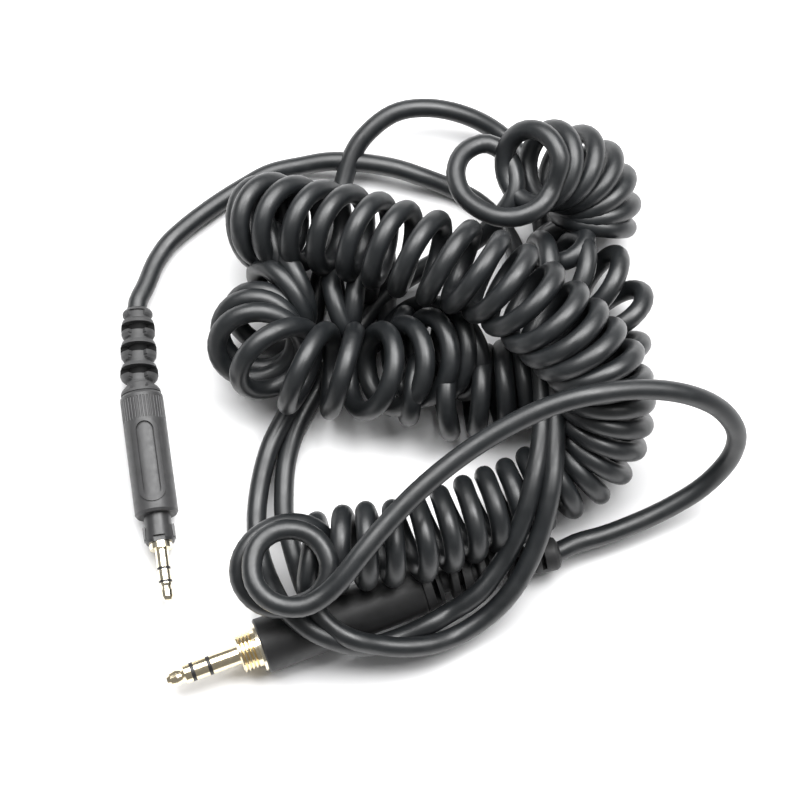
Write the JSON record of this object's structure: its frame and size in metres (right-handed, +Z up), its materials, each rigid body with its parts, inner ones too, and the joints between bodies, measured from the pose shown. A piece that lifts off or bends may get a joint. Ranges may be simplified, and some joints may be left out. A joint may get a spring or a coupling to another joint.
{
  "type": "coiled audio cable",
  "caption": "Black curly stereo cable in a loose tangle, with a gold stereo jack plug at one end and a smaller bayonet jack plug at the other.",
  "frame": {"origin": "on the surface that the cable lies on, under the middle of the box round its two plugs", "axes": "+Z up; +X to the right and +Y away from a viewer who looks down at the cable with the small plug on the left"},
  "size_m": [0.1155, 0.1146, 0.0387],
  "materials": {
    "gold_plate": "gold plated, polished",
    "contact_insulator": "matte",
    "tinned_lug": "tinned",
    "barrel_plastic": "satin black",
    "inner_mould": "matte",
    "boot_rubber": "matte black",
    "wire_red": "matte",
    "wire_blue": "matte",
    "wire_copper": "bare copper",
    "cord_jacket": "satin black"
  },
  "bodies": {
    "cable": {"small_boot": "boot_rubber", "big_tip_contact": "gold_plate", "big_tip_insulator": "contact_insulator", "big_ring_contact": "gold_plate", "big_ring_insulator": "contact_insulator", "big_sleeve_contact": "gold_plate", "big_ground_lug": "tinned_lug", "big_washer": "gold_plate", "big_barrel": "barrel_plastic", "big_inner_mould": "inner_mould", "big_boot": "boot_rubber", "big_left_wire": "wire_red", "big_right_wire": "wire_blue", "big_ground_wire": "wire_copper", "lead_small": "cord_jacket", "lead_big": "cord_jacket", "coil_front": "cord_jacket", "coil_arch": "cord_jacket", "coil_fan": "cord_jacket", "coil_left": "cord_jacket", "coil_back": "cord_jacket", "coil_top": "cord_jacket"},
    "small_plug": {"small_tip_contact": "gold_plate", "small_tip_insulator": "contact_insulator", "small_ring_contact": "gold_plate", "small_ring_insulator": "contact_insulator", "small_sleeve_contact": "gold_plate", "small_ground_lug": "tinned_lug", "small_lock_collar": "barrel_plastic", "small_barrel": "barrel_plastic", "small_inner_mould": "inner_mould", "small_left_wire": "wire_red", "small_right_wire": "wire_blue", "small_ground_wire": "wire_copper"}
  },
  "joints": [
    {"name": "small_boot_flex", "type": "hinge", "parent": "cable", "child": "small_plug", "pos_m": [-0.03802, 0.02118, 0.00405], "axis": [0, 0, 1], "range_deg": [-30, 8], "stiffness_Nm_per_rad": 0.02, "deforming": ["small_boot"]}
  ]
}
